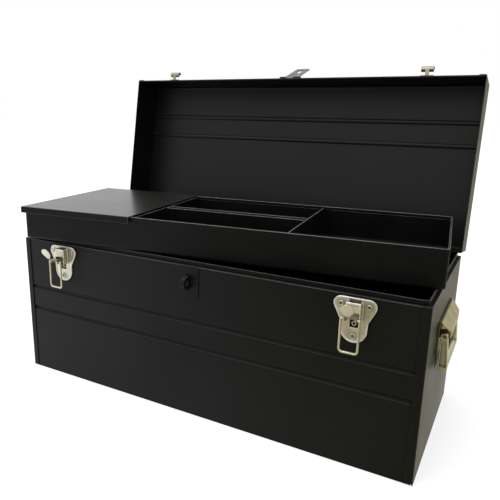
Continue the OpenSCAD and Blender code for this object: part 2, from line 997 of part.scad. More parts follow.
// Solid block of the tray, drawn in by a distance
module tray_block(in, top) {
    half_l = tray_l / 2 - in;
    half_y = tray_d / 2 - in;
    intersection() {
        translate([0, 0, in])
            linear_extrude(top - in)
                round_rect(2 * half_l, 2 * half_y, 4 - in);
        along_x(-half_l, half_l)
            round_foot(half_y, in, top, 3 - in);
        along_y(-half_y, half_y)
            round_foot(half_l, in, top, 3 - in);
    }
}

// Open pan of the tray with a hem folded inside its rim
module tray_pan() {
    color(paint)
        tray_pose() {
            difference() {
                tray_block(0, tray_h);
                tray_block(tray_t, tray_h + 1);
            }
            translate([0, 0, tray_h - tray_hem])
                linear_extrude(tray_hem)
                    difference() {
                        round_rect(tray_l - tray_t, tray_d - tray_t, 3.5);
                        round_rect(tray_l - 4 * tray_t, tray_d - 4 * tray_t, 2);
                    }
        }
}

// Wall from front to back of the tray with a folded foot
module tray_cross(x, way) {
    half_y = tray_d / 2 - 2 * tray_t;
    top = tray_h - divider_drop;
    along_x(x, x + tray_t)
        polygon([[-half_y, top], [half_y, top], [half_y, 3 * tray_t], [half_y - 2 * tray_t, tray_t],
            [-half_y + 2 * tray_t, tray_t], [-half_y, 3 * tray_t]]);
    translate([way > 0 ? x : x - 8 + tray_t, -half_y + 2, tray_t])
        cube([8, 2 * half_y - 4, tray_t]);
}

module tray_cross_right() {
    color(paint)
        tray_pose()
            tray_cross(tray_l / 2 - bay_l - tray_t, 1);
}

module tray_cross_left() {
    color(paint)
        tray_pose()
            tray_cross(-tray_l / 2 + bay_l, -1);
}

// Channel between the two long bins, open at the top
module tray_long_divider() {
    half = tray_l / 2 - bay_l - tray_t;
    top = tray_h - divider_drop;
    color(paint)
        tray_pose()
            along_x(-half, half) {
                translate([-channel_w / 2, tray_t])
                    square([channel_w, tray_t]);
                translate([-channel_w / 2, tray_t])
                    square([tray_t, top - tray_t]);
                translate([channel_w / 2 - tray_t, tray_t])
                    square([tray_t, top - tray_t]);
            }
}

// Sliding cover with turned-down edges front and back
module tray_cover() {
    half = tray_d / 2 + cover_side;
    low = tray_h + cover_gap + cover_t - cover_edge;
    top = tray_h + cover_gap + cover_t;
    color(paint)
        tray_pose()
            along_x(-tray_l / 2, -tray_l / 2 + cover_l)
                difference() {
                    translate([0, top])
                        mirror([0, 1])
                            round_foot(half, 0, cover_edge, 2);
                    translate([0, top])
                        mirror([0, 1])
                            round_foot(half - cover_t, cover_t, cover_edge + 1, 1);
                }
}

body_wrap();
end_left();
end_right();
rim_frame();
tray_rest_left();
tray_rest_right();
staple_plate();
staple();
hinge_body_leaf();
hinge_rod();
hinge_rivets();
latch_base(-latch_x);  // latch_left_base
latch_pin(-latch_x);  // latch_left_pin
latch_base(latch_x);  // latch_right_base
latch_pin(latch_x);  // latch_right_pin
latch_rivets();
handle_left_plate();
handle_left_rod();
handle_right_plate();
handle_right_rod();
handle_rivets();
lid_wrap();
lid_cap_left();
lid_cap_right();
hinge_lid_leaf();
lid_hinge_rivets();
keeper(-latch_x);  // keeper_left
keeper(latch_x);  // keeper_right
keeper_rivets();
hasp_base();
hasp_pin();
hasp_leaf();
latch_lever(-latch_x);  // latch_left_lever
latch_bail(-latch_x);  // latch_left_bail
latch_lever(latch_x);  // latch_right_lever
latch_bail(latch_x);  // latch_right_bail
handle_left_bail();
handle_right_bail();
tray_pan();
tray_cross_left();
tray_cross_right();
tray_long_divider();
tray_cover();
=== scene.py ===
"""Finishes and studio for a folded-steel tool case with a loose tray."""

import json
import math

import bpy
from bpy.props import FloatProperty, FloatVectorProperty, PointerProperty
from mathutils import Matrix, Vector


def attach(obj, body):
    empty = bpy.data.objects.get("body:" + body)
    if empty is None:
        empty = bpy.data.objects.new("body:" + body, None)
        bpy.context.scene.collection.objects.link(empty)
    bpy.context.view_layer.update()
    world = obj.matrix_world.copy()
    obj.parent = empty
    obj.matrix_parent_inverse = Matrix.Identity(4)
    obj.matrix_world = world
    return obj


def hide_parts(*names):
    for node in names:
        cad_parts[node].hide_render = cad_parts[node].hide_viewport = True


bl_info = {
    "name": "Tool Case Finishes",
    "version": (1, 0, 0),
    "blender": (4, 5, 0),
    "location": "View3D > Sidebar > Tool Case",
    "description": "Paints, plates and lights a folded-steel tool case",
    "category": "Object",
}

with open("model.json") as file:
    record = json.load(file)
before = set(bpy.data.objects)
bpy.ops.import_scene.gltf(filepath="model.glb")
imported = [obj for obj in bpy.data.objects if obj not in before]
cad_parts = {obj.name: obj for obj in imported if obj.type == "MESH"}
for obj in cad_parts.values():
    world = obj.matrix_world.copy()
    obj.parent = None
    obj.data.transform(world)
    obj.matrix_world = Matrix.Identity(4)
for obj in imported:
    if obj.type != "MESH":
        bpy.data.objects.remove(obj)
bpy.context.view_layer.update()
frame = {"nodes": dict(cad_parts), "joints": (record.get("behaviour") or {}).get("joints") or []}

# Pieces by finish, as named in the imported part
BODY_PAINT = (
    "body_wrap", "tray_rest_left", "tray_rest_right", "staple_plate", "staple", "hinge_body_leaf")
END_PAINT = ("end_left", "end_right")
RIM_PAINT = ("rim_frame",)
LID_PAINT = ("lid_wrap", "hinge_lid_leaf", "hasp_base")
LID_CAPS = ("lid_cap_left", "lid_cap_right")
TRAY_PAINT = ("tray_pan", "tray_cross_left", "tray_cross_right", "tray_long_divider")
COVER_PAINT = ("tray_cover",)
LATCH_PLATES = ("latch_left_base", "latch_right_base")
LATCH_NICKEL = (
    "latch_left_pin", "latch_right_pin", "latch_left_lever", "latch_left_bail",
    "latch_right_lever", "latch_right_bail")
KEEPERS = ("keeper_left", "keeper_right")
HANDLE_PLATES = ("handle_left_plate", "handle_right_plate")
HANDLE_BAILS = ("handle_left_bail", "handle_right_bail")
BARE_STEEL = ("hinge_rod", "handle_left_rod", "handle_right_rod", "hasp_pin", "hasp_leaf")

# Named values; lengths are in metres
WHITE = (1.0, 1.0, 1.0, 1.0)

# Masks: a pair gives the values where a mask starts and where it is full
EDGE_RAYS = 4                           # samples of a Bevel node
PIT_RAYS = 6                            # samples of an Ambient Occlusion node
EDGE_START = 0.995                      # cosine between a face and its softened normal
RUB_DETAIL = 4.0
RUB_PATCHES = (0.42, 0.68)
CLOUD_DETAIL = 5.0
CLOUD_ROUGHNESS = 0.6
CLOUD_PATCHES = (0.36, 0.74)
SCRATCH_STRETCH = (0.25, 1.0, 3.0)
SCRATCH_TURN = (0.3, 0.5, 0.2)
SCRATCH_DETAIL = 3.0
SCRATCH_WAVER = 0.4
SCRATCH_LINES = (0.62, 0.72)
PIT_START = 0.92                        # share of open surroundings
LEVEL_FACES = (0.7, 0.98)               # upward part of a face's normal
FILM_STRETCH = (3.0, 40.0, 3.0)
FILM_TURN = (0.0, 0.0, 0.11)
FILM_SCALE = 2.2
FILM_DETAIL = 4.0
FILM_PATCHES = (0.25, 0.75)
FILM_THINNEST = 0.7

# Paint
PAINT_IOR = 1.45
PAINT_TINT = (0.93, 1.0, 0.95, 1.0)     # of its reflection
HAZE_GAIN = (2.2, 2.15, 2.1)
HAZE_LIFT = (0.006, 0.006, 0.0055)
# Dust on upward faces, also a painted sheen that lightens the tops
DUST_SHEEN_COLOUR = (0.16, 0.16, 0.15, 1.0)
# Tint of the edges' painted highlight, partly worn paint
EDGE_HIGHLIGHT_TINT = (1.0, 0.98, 0.95)
# Painted shade in corners and pits: its colour, reach and depth
CREVICE_SHADE_COLOUR = (0.0012, 0.0012, 0.0011, 1.0)
PIT_REACH = 0.005
PIT_DEEPEST = 0.6
HAZE_DULLS = 0.16                       # roughness that haze, scratches and pits add
SCRATCH_DULLS = 0.06
PIT_DULLS = 0.6
BUFFED_ROUGHNESS = 0.22
PEEL_SCALE = 420.0                      # fine orange peel
PEEL_DETAIL = 2.0
PEEL_STRENGTH = 0.05
PEEL_HEIGHT = 0.0002
SAG_SCALE = 11.0                        # slow waves of the sheet
SAG_DETAIL = 1.0
SAG_STRENGTH = 0.12
SAG_HEIGHT = 0.0015
BODY_CLOUDS = 6.0                       # scales of the haze
LID_CLOUDS = 4.5
TRAY_CLOUDS = 8.0
COVER_CLOUDS = 5.0

# Metal
METAL_CLOUDS = 55.0
METAL_SCRATCHES = 320.0
METAL_BREAK_UP = 260.0
TARNISH_TINT = (1.0, 0.97, 0.92)
# Tint of the painted shade in a metal's pits
CREVICE_SHADE_TINT = (0.1, 0.09, 0.07)
TARNISH_DULLS = 0.14
METAL_SCRATCH_DULLS = 0.08
GRAIN_DETAIL = 3.0
GRAIN_STRENGTH = 0.1
GRAIN_HEIGHT = 0.0002
LATCH_GRAIN = 700.0                     # scales of the press grain
HANDLE_GRAIN = 520.0
STEEL_GRAIN = 600.0
# The keepers' darker nickel is a painted shade
KEEPER_SHADE_TINT = (0.6, 0.6, 0.6)           # shares of the nickel's colour
# The handle plates' darker, warmer nickel is a painted warm shade
HANDLE_SHADE_TINT = (0.76, 0.73, 0.6)

# Rivets: shapes are shares of a head's radius and height
ROUND_SIDES = 32
ROLL_SIDES = 16
SKIRT_TALL = 0.18
SKIRT_WIDE = 0.07
DOME_TALL = 0.82
DOME_WIDE = 0.93
DOME_RINGS = 7
DOME_FLAT = 0.6                         # part of a ring's step left flat on top
QUARTER_TURN = 90                       # degrees
DOME_SMOOTH = math.radians(35)
ROLL_SMOOTH = math.radians(50)
ROLL_BASE = 0.2
ROLL_STEPS = (                          # inward and up, from the rim to the hollow
    (0.06, 0.35), (0.11, 0.3), (0.16, 0.15), (0.13, -0.14), (0.08, -0.55), (0.02, -0.29))
EYELET_FOOT = -0.3                      # share of the wall below which a ring is flattened
TOP_NORMAL = 0.9                        # least upward part of a top face's normal
OPEN_RATIO = 0.9                        # inner to outer radius below which a rivet is open
RIM_DEPTH = 1e-5                        # points this near the foot are its rim
POINT_DIGITS = 6                        # decimals that points and sizes are matched to
SIZE_DIGITS = 5
HOLE_DIGITS = 2

# Studio
FLOOR_SIZE = 40.0
FLOOR_LEVEL = -0.0004
FLOOR_GLOW = 0.6
BOARD_SIZE = 6.0
BOARD_PLACE = (2.6, 1.0, 0.0008)
BOARD_EDGE = (-0.115, -0.13, 0.0)       # point on the board's slanting left edge
BOARD_ACROSS = (0.87, -0.49, 0.0)       # direction away from that edge
BOARD_FADE = (0.04, 0.42)               # distances over which white turns to the tint
BOARD_DIM = (-1.2, -0.4)                # y over which the board gets its full strength
BOARD_DIM_LEVEL = 0.35
CARD_PLACE = (2.35, 2.1, 0.0016)
CARD_SPAN = (4.0, 4.4, 1.0)
CARD_RISE = 1.2
SAME_EDGE = 1e-4                        # points this near the far edge lie on it
SOFTBOX_SIZE = (1.6, 1.2)
SOFTBOX_PLACE = (-0.5, -0.7, 1.7)
SOFTBOX_AIM = (0.0, 0.0, 0.2)
SENSOR_MM = 36.0
CAMERA_SHIFT = (0.06272, -0.00073)
CAMERA_NEAR = 0.01
CAMERA_PLACE = (0.36742, -0.69792, 0.40949)
CAMERA_TURN_DEG = (75.689, -0.7587, 29.5357)


# Settings

class ToolCasePaint(bpy.types.PropertyGroup):
    """Black paint of the sheets."""
    colour: FloatVectorProperty(
        name="Colour", description="Colour of the black paint",
        subtype="COLOR", size=3, min=0.0, max=1.0, default=(0.0036, 0.0038, 0.0034))
    gloss_roughness: FloatProperty(
        name="Roughness", description="Roughness of clean paint", min=0.0, max=1.0, default=0.36)
    edge_radius: FloatProperty(
        name="Edge radius", description="Radius that folded and cut edges catch light over",
        subtype="DISTANCE", unit="LENGTH", min=0.0, default=0.0009)
    haze: FloatProperty(
        name="Haze", description="Amount of dust and hand marks", min=0.0, max=1.0, default=0.35)
    gloss: FloatProperty(
        name="Gloss", description="Strength of the paint's own reflection",
        min=0.0, max=1.0, default=0.17)
    # Edge shine: a painted highlight on the edges, partly worn paint
    edge: FloatProperty(
        name="Edge shine", description="Brightness of the rubbed edges",
        min=0.0, max=1.0, default=0.22)


class ToolCaseMetal(bpy.types.PropertyGroup):
    """Plated and bare hardware."""
    nickel: FloatVectorProperty(
        name="Nickel", description="Colour of the plated latches and handles",
        subtype="COLOR", size=3, min=0.0, max=1.0, default=(0.63, 0.605, 0.475))
    steel: FloatVectorProperty(
        name="Steel", description="Colour of bare steel",
        subtype="COLOR", size=3, min=0.0, max=1.0, default=(0.18, 0.185, 0.18))


class ToolCaseStudio(bpy.types.PropertyGroup):
    """Floor, surround, lamp and camera."""
    floor_colour: FloatVectorProperty(
        name="Floor", description="Colour of the floor",
        subtype="COLOR", size=3, min=0.0, max=1.0, default=(0.88, 0.88, 0.88))
    board_colour: FloatVectorProperty(
        name="Board", description="Colour of the board that the front and the right end mirror",
        subtype="COLOR", size=3, min=0.0, max=1.0, default=(0.55, 0.5, 0.315))
    side_colour: FloatVectorProperty(
        name="Side card", description="Colour of the card behind the right end",
        subtype="COLOR", size=3, min=0.0, max=1.0, default=(0.66, 0.62, 0.47))
    surround: FloatProperty(
        name="Surround", description="Strength of the soft light from all sides",
        min=0.0, default=0.62)
    key: FloatProperty(
        name="Key lamp", description="Power of the large overhead lamp",
        subtype="POWER", unit="POWER", min=0.0, default=9.0)
    lens: FloatProperty(
        name="Lens", description="Focal length for a 36 mm frame",
        subtype="DISTANCE_CAMERA", min=1.0, default=39.353)


# Shader helpers

def feed(tree, socket, value):
    """Links a socket to another one, or sets its value."""
    if isinstance(value, bpy.types.NodeSocket):
        tree.links.new(value, socket)
    else:
        socket.default_value = value


def set_sockets(tree, node, **values):
    """Feeds the named sockets of a node, with _ for a space."""
    for key, value in values.items():
        feed(tree, node.inputs[key.replace("_", " ")], value)


def add_node(tree, kind, place, terms=(), **values):
    """New node; values set its properties and named sockets, terms its first sockets in order."""
    node = tree.nodes.new(kind)
    node.location = place
    for key, value in values.items():
        if hasattr(node, key):
            setattr(node, key, value)
        else:
            set_sockets(tree, node, **{key: value})
    for socket, value in zip(node.inputs, terms):
        feed(tree, socket, value)
    return node


def ramp(tree, place, value, ends, levels=(0.0, 1.0), **values):
    """Value spread from its two ends over two levels."""
    node = add_node(
        tree, "ShaderNodeMapRange", place, Value=value, From_Min=ends[0], From_Max=ends[1],
        To_Min=levels[0], To_Max=levels[1], **values)
    return node.outputs["Result"]


def maths(tree, place, operation, *terms, **values):
    node = add_node(tree, "ShaderNodeMath", place, terms, operation=operation, **values)
    return node.outputs["Value"]


def noise(tree, place, where, scale, detail, **values):
    node = add_node(
        tree, "ShaderNodeTexNoise", place, Vector=where, Scale=scale, Detail=detail, **values)
    return node.outputs["Fac"]


def lay_over(tree, place, mask, under, over):
    """Colour that turns from under to over where the mask is full."""
    node = add_node(
        tree, "ShaderNodeMix", place, data_type="RGBA", Factor=mask, A=under, B=over)
    return node.outputs["Result"]


def soft_normal(tree, place, radius):
    """Normal that is rounded over the edges."""
    node = add_node(tree, "ShaderNodeBevel", place, samples=EDGE_RAYS, Radius=radius)
    return node.outputs["Normal"]


def raised(tree, place, height, normal, strength, distance):
    """Normal with a low relief on it."""
    node = add_node(
        tree, "ShaderNodeBump", place, Height=height, Normal=normal, Strength=strength,
        Distance=distance)
    return node.outputs["Normal"]


def opaque(colour):
    return (*colour, 1.0)


def tinted(colour, tint):
    return [c * share for c, share in zip(colour, tint)]


# Masks that several finishes share

def edge_highlight(group, given):
    """Mask of the outer edges for a painted highlight, broken up as worn paint is."""
    rounded = soft_normal(group, (-600, 100), given["Radius"])
    flat = add_node(group, "ShaderNodeNewGeometry", (-600, -100)).outputs["Normal"]
    turn = add_node(
        group, "ShaderNodeVectorMath", (-400, 0), (rounded, flat), operation="DOT_PRODUCT")
    edge = ramp(group, (-200, 0), turn.outputs["Value"], (EDGE_START, given["Full"]))
    where = add_node(group, "ShaderNodeTexCoord", (-600, -300)).outputs["Object"]
    spots = noise(group, (-400, -300), where, given["Break Up"], RUB_DETAIL)
    patch = ramp(group, (-200, -300), spots, RUB_PATCHES)
    whole = maths(group, (-100, -450), "MAXIMUM", patch, given["Even"])
    return {"Mask": maths(group, (0, -100), "MULTIPLY", edge, whole)}


def paint_haze(group, given):
    """Soft cloudy mask of dust and hand marks, with fine rubbing scratches."""
    where = add_node(group, "ShaderNodeTexCoord", (-800, 0)).outputs["Object"]
    cloud = noise(
        group, (-500, 150), where, given["Cloud Scale"], CLOUD_DETAIL, Roughness=CLOUD_ROUGHNESS)
    stretch = add_node(
        group, "ShaderNodeMapping", (-650, -200), Vector=where, Scale=SCRATCH_STRETCH,
        Rotation=SCRATCH_TURN)
    lines = noise(
        group, (-450, -200), stretch.outputs["Vector"], given["Scratch Scale"], SCRATCH_DETAIL,
        Distortion=SCRATCH_WAVER)
    return {"Cloud": ramp(group, (-250, 150), cloud, CLOUD_PATCHES),
            "Scratch": ramp(group, (-250, -200), lines, SCRATCH_LINES)}


def crevice_shade(group, given):
    """Mask of the corners and pits, where painted shade is laid."""
    shade = add_node(
        group, "ShaderNodeAmbientOcclusion", (-300, 0), samples=PIT_RAYS, Distance=given["Reach"])
    return {"Mask": ramp(group, (-50, 0), shade.outputs["AO"], (PIT_START, given["Deepest"]))}


def dust_and_sheen(group, given):
    """Mask of faces that look up, where fine dust settles in faint streaks and a sheen is painted
    on the tops.
    """
    facing = add_node(group, "ShaderNodeTexCoord", (-700, 0))
    parts = add_node(
        group, "ShaderNodeSeparateXYZ", (-500, 0), Vector=facing.outputs["Normal"])
    level = ramp(group, (-300, 0), parts.outputs["Z"], LEVEL_FACES)
    streak = add_node(
        group, "ShaderNodeMapping", (-500, -250), Vector=facing.outputs["Object"],
        Rotation=FILM_TURN, Scale=FILM_STRETCH)
    dust_sheen = noise(group, (-300, -250), streak.outputs["Vector"], FILM_SCALE, FILM_DETAIL)
    lay = ramp(group, (-120, -250), dust_sheen, FILM_PATCHES, (FILM_THINNEST, 1.0))
    thick = maths(group, (60, 0), "MULTIPLY", level, lay)
    return {"Mask": maths(group, (220, 0), "MULTIPLY", thick, given["Amount"])}


# Inputs of each mask, with their defaults
MASKS = {
    edge_highlight: {"Radius": 0.001, "Break Up": 90.0, "Even": 0.0, "Full": 0.86},
    paint_haze: {"Cloud Scale": 7.0, "Scratch Scale": 40.0},
    crevice_shade: {"Reach": 0.004, "Deepest": 0.4},
    dust_and_sheen: {"Amount": 0.5},
}


def mask_group(mask):
    """Shader group of a mask, built once and then shared."""
    name = mask.__name__
    if name in bpy.data.node_groups:
        return bpy.data.node_groups[name]
    group = bpy.data.node_groups.new(name, "ShaderNodeTree")
    sockets = group.interface
    for label, default in MASKS[mask].items():
        socket = sockets.new_socket(label, in_out="INPUT", socket_type="NodeSocketFloat")
        socket.default_value = default
    results = mask(group, group.nodes.new("NodeGroupInput").outputs)
    for label in results:
        sockets.new_socket(label, in_out="OUTPUT", socket_type="NodeSocketFloat")
    out = group.nodes.new("NodeGroupOutput")
    for label, result in results.items():
        feed(group, out.inputs[label], result)
    return group


def add_mask(tree, mask, place, **values):
    """Outputs of a shared mask, placed in a material with its own values."""
    node = add_node(tree, "ShaderNodeGroup", place, node_tree=mask_group(mask), **values)
    return node.outputs


# Finishes

def new_material(name):
    mat = bpy.data.materials.new(name)
    mat.use_nodes = True
    return mat, mat.node_tree


def painted_sheet(name, paint, clouds, duller=0.0, radius=1.0, gloss=1.0, edge=1.0, even=0.35,
                  dust=0.25, polish=0.0):
    """Sprayed semi-gloss paint with light orange peel, dust that also paints a sheen on the tops,
    edges with a painted highlight that is partly worn paint, and painted shade in corners.

    duller is added to the paint's roughness; radius, gloss and edge multiply its own values.
    """
    mat, tree = new_material(name)
    shader = tree.nodes["Principled BSDF"]
    rough = paint.gloss_roughness + duller
    reach = paint.edge_radius * radius
    hazy = [c + lift for c, lift in zip(tinted(paint.colour, HAZE_GAIN), HAZE_LIFT)]
    # Edge colour: a painted highlight, partly worn paint
    bare = [paint.edge * edge * tint for tint in EDGE_HIGHLIGHT_TINT]

    where = add_node(tree, "ShaderNodeTexCoord", (-1200, -300)).outputs["Object"]
    marks = add_mask(tree, paint_haze, (-900, 200), Cloud_Scale=clouds)
    rubbed_and_highlit = add_mask(tree, edge_highlight, (-900, 0), Radius=reach, Even=even)
    dust_sheen = add_mask(tree, dust_and_sheen, (-750, 550), Amount=dust)
    pits = add_mask(tree, crevice_shade, (-900, 750), Reach=PIT_REACH, Deepest=PIT_DEEPEST)

    amount = maths(tree, (-750, 350), "MULTIPLY", marks["Cloud"], paint.haze)
    colour = lay_over(tree, (-600, 300), amount, opaque(paint.colour), opaque(hazy))
    # Dust on the upward faces, partly a painted sheen
    colour = lay_over(tree, (-480, 450), dust_sheen["Mask"], colour, DUST_SHEEN_COLOUR)
    # Painted highlight on the edges, partly worn paint
    colour = lay_over(tree, (-350, 300), rubbed_and_highlit["Mask"], colour, opaque(bare))
    # Painted shade in corners and pits
    colour = lay_over(tree, (-150, 400), pits["Mask"], colour, CREVICE_SHADE_COLOUR)

    dull = ramp(
        tree, (-600, 0), marks["Cloud"], (0.0, 1.0), (rough, rough + HAZE_DULLS * paint.haze))
    dull = maths(tree, (-350, 0), "MULTIPLY_ADD", marks["Scratch"], SCRATCH_DULLS, dull)
    dull = maths(
        tree, (-150, 0), "MULTIPLY_ADD", pits["Mask"], PIT_DULLS, dull, use_clamp=True)

    sag = noise(tree, (-900, -550), where, SAG_SCALE, SAG_DETAIL)
    peel = noise(tree, (-900, -300), where, PEEL_SCALE, PEEL_DETAIL)
    normal = soft_normal(tree, (-700, -700), reach)
    normal = raised(tree, (-450, -500), sag, normal, SAG_STRENGTH, SAG_HEIGHT)
    normal = raised(tree, (-250, -300), peel, normal, PEEL_STRENGTH, PEEL_HEIGHT)

    set_sockets(
        tree, shader, IOR=PAINT_IOR, Specular_IOR_Level=paint.gloss * gloss,
        Specular_Tint=PAINT_TINT, Base_Color=colour, Roughness=dull, Normal=normal)
    if polish:
        buffed = maths(
            tree, (-480, 650), "MULTIPLY", dust_sheen["Mask"], polish, use_clamp=True)
        set_sockets(tree, shader, Coat_Weight=buffed, Coat_Roughness=BUFFED_ROUGHNESS)
    return mat


def plated_metal(name, colour, roughness, radius, grain, tarnish, reach, even=0.3, shine=1.25,
                 deepest=0.4, full=0.86):
    """Plated or bare steel with press grain, dull patches, painted shade in its pits and a
    painted highlight on its edges.
    """
    mat, tree = new_material(name)
    dull = tinted([c * tarnish for c in colour], TARNISH_TINT)
    # Colour of the painted shade in the pits
    crevice_shade_colour = tinted(colour, CREVICE_SHADE_TINT)
    # Colour of the painted highlight on the edges
    edge_highlight_colour = [min(1.0, c * shine) for c in colour]

    where = add_node(tree, "ShaderNodeTexCoord", (-1200, -300)).outputs["Object"]
    marks = add_mask(
        tree, paint_haze, (-900, 200), Cloud_Scale=METAL_CLOUDS, Scratch_Scale=METAL_SCRATCHES)
    rubbed_and_highlit = add_mask(
        tree, edge_highlight, (-900, 0), Radius=radius, Break_Up=METAL_BREAK_UP, Even=even, Full=full)
    pits = add_mask(tree, crevice_shade, (-900, 500), Reach=reach, Deepest=deepest)

    tone = lay_over(tree, (-600, 300), marks["Cloud"], opaque(colour), opaque(dull))
    # Painted shade in the pits
    tone = lay_over(tree, (-450, 500), pits["Mask"], tone, opaque(crevice_shade_colour))
    # Painted highlight on the edges
    tone = lay_over(tree, (-350, 300), rubbed_and_highlit["Mask"], tone, opaque(edge_highlight_colour))

    rough = ramp(
        tree, (-600, 0), marks["Cloud"], (0.0, 1.0), (roughness, roughness + TARNISH_DULLS))
    rough = maths(
        tree, (-350, 0), "MULTIPLY_ADD", marks["Scratch"], METAL_SCRATCH_DULLS, rough)

    press = noise(tree, (-900, -300), where, grain, GRAIN_DETAIL)
    normal = soft_normal(tree, (-700, -600), radius)
    normal = raised(tree, (-350, -300), press, normal, GRAIN_STRENGTH, GRAIN_HEIGHT)

    set_sockets(
        tree, tree.nodes["Principled BSDF"], Metallic=1.0, Base_Color=tone, Roughness=rough,
        Normal=normal)
    return mat


def coat_nodes(names, mat):
    """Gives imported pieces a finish."""
    for name in names:
        piece = frame["nodes"][name]
        piece.data.materials.clear()
        piece.data.materials.append(mat)


# Modelling helpers

def deselect_all():
    if bpy.context.mode != "OBJECT":
        bpy.ops.object.mode_set(mode="OBJECT")
    bpy.ops.object.select_all(action="DESELECT")


def node_islands(name):
    """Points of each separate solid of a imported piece."""
    mesh = frame["nodes"][name].data
    points = [tuple(round(c, POINT_DIGITS) for c in vertex.co) for vertex in mesh.vertices]
    owner = {}

    def find(point):
        while owner.setdefault(point, point) != point:
            owner[point] = owner[owner[point]]
            point = owner[point]
        return point

    for face in mesh.polygons:
        first = find(points[face.vertices[0]])
        for index in face.vertices[1:]:
            owner[find(points[index])] = first
    solids = {}
    for point in dict.fromkeys(points):
        solids.setdefault(find(point), []).append(Vector(point))
    return list(solids.values())


def rivet_blank(name, radius, tall):
    """Disc for a rivet head, with its top face selected in edit mode."""
    deselect_all()
    bpy.ops.mesh.primitive_cylinder_add(
        vertices=ROUND_SIDES, radius=radius, depth=tall, location=(0, 0, tall / 2))
    head = bpy.context.object
    head.name = name
    bpy.ops.object.transform_apply(location=True)
    for face in head.data.polygons:
        face.select = face.normal.z > TOP_NORMAL
    bpy.ops.object.mode_set(mode="EDIT")
    bpy.ops.mesh.select_mode(type="FACE")
    return head


def step_top(inward, lift):
    """Insets the selected top face and lifts it."""
    bpy.ops.mesh.inset(thickness=inward, depth=0.0)
    bpy.ops.transform.translate(value=(0, 0, lift))


def finish_head(head, material, angle):
    bpy.ops.object.mode_set(mode="OBJECT")
    head.data.materials.append(material)
    bpy.ops.object.shade_smooth_by_angle(angle=angle)
    return head


def domed_head(name, radius, tall, material):
    """Domed rivet head on a thin pressed skirt."""
    head = rivet_blank(name, radius, tall * SKIRT_TALL)
    step_top(radius * SKIRT_WIDE, 0.0)
    inner = radius * DOME_WIDE
    for ring in range(DOME_RINGS):
        low, high = (
            math.radians(QUARTER_TURN * step / (DOME_RINGS + DOME_FLAT))
            for step in (ring, ring + 1))
        step_top(
            inner * (math.cos(low) - math.cos(high)),
            tall * DOME_TALL * (math.sin(high) - math.sin(low)))
    return finish_head(head, material, DOME_SMOOTH)


def tubular_head(name, radius, tall, material):
    """Rolled head of a semi-tubular rivet."""
    head = rivet_blank(name, radius, tall * ROLL_BASE)
    for inward, lift in ROLL_STEPS:
        step_top(radius * inward, tall * lift)
    return finish_head(head, material, ROLL_SMOOTH)


def eyelet_ring(name, radius, tall, hole, material):
    """Rolled ring with a flat foot, open to the sheet behind it."""
    deselect_all()
    wall = radius * (1.0 - hole) / 2
    bpy.ops.mesh.primitive_torus_add(
        major_segments=ROUND_SIDES, minor_segments=ROLL_SIDES, major_radius=radius - wall,
        minor_radius=wall)
    ring = bpy.context.object
    ring.name = name
    bpy.ops.object.mode_set(mode="EDIT")
    bpy.ops.mesh.select_mode(type="VERT")
    bpy.ops.mesh.select_all(action="DESELECT")
    bpy.ops.object.mode_set(mode="OBJECT")
    for vertex in ring.data.vertices:
        vertex.select = vertex.co.z < EYELET_FOOT * wall
    bpy.ops.object.mode_set(mode="EDIT")
    bpy.ops.transform.resize(value=(1.0, 1.0, 0.0))
    bpy.ops.object.mode_set(mode="OBJECT")
    foot = min(vertex.co.z for vertex in ring.data.vertices)
    bpy.ops.object.mode_set(mode="EDIT")
    bpy.ops.mesh.select_all(action="SELECT")
    bpy.ops.transform.translate(value=(0, 0, -foot))
    bpy.ops.transform.resize(
        value=(1.0, 1.0, tall / (wall - foot)), center_override=(0, 0, 0))
    return finish_head(ring, material, ROLL_SMOOTH)


def measure_rivet(solid, side):
    """Middle of a rivet's foot, and its radius, its height and, if it is open, its hole."""
    heights = [point.dot(side) for point in solid]
    low = min(heights)
    rim = [point for point, height in zip(solid, heights) if height < low + RIM_DEPTH]
    middle = sum(rim, Vector()) / len(rim)
    reach = sorted((point - middle).length for point in rim)
    size = (round(reach[-1], SIZE_DIGITS), round(max(heights) - low, SIZE_DIGITS))
    hole = round(reach[0] / reach[-1], HOLE_DIGITS)
    if 0.0 < hole < OPEN_RATIO:
        size += (hole,)
    return middle, size


def set_head(model, middle, side):
    """Copy of a rivet head, placed in its own mesh."""
    head = model.copy()
    head.data = model.data.copy()
    turn = Vector((0, 0, 1)).rotation_difference(side).to_matrix().to_4x4()
    head.data.transform(Matrix.Translation(middle) @ turn)
    bpy.context.scene.collection.objects.link(head)
    return head


def rivet_set(name, node, facing, body, shape, material):
    """One joined set of rivet heads in place of a packed set.

    facing is the way the heads look, or gives it for a solid; open rivets get an eyelet ring.
    """
    heads = []
    models = {}
    for solid in node_islands(node):
        side = facing(solid) if callable(facing) else facing
        middle, size = measure_rivet(solid, side)
        if size not in models:
            make = shape if len(size) == 2 else eyelet_ring
            models[size] = make(f"{name}_model", *size, material=material)
        heads.append(set_head(models[size], middle, side))
    for model in models.values():
        bpy.data.objects.remove(model)
    deselect_all()
    for head in heads:
        head.select_set(True)
    bpy.context.view_layer.objects.active = heads[0]
    bpy.ops.object.join()
    joined = bpy.context.object
    joined.name = name
    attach(joined, body)
    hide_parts(node)


# Studio helpers

def background_rays(tree):
    """1 where the camera sees the background, straight, mirrored or through glass."""
    path = add_node(tree, "ShaderNodeLightPath", (-400, -300)).outputs
    seen = maths(
        tree, (-200, -250), "MAXIMUM", path["Is Camera Ray"], path["Is Glossy Ray"])
    return maths(tree, (-100, -350), "MAXIMUM", seen, path["Is Transmission Ray"])


def stage_material(name):
    """Material with nothing but its output, and the socket of its surface."""
    mat, tree = new_material(name)
    tree.nodes.clear()
    out = add_node(tree, "ShaderNodeOutputMaterial", (600, 0))
    return mat, tree, out.inputs["Surface"]


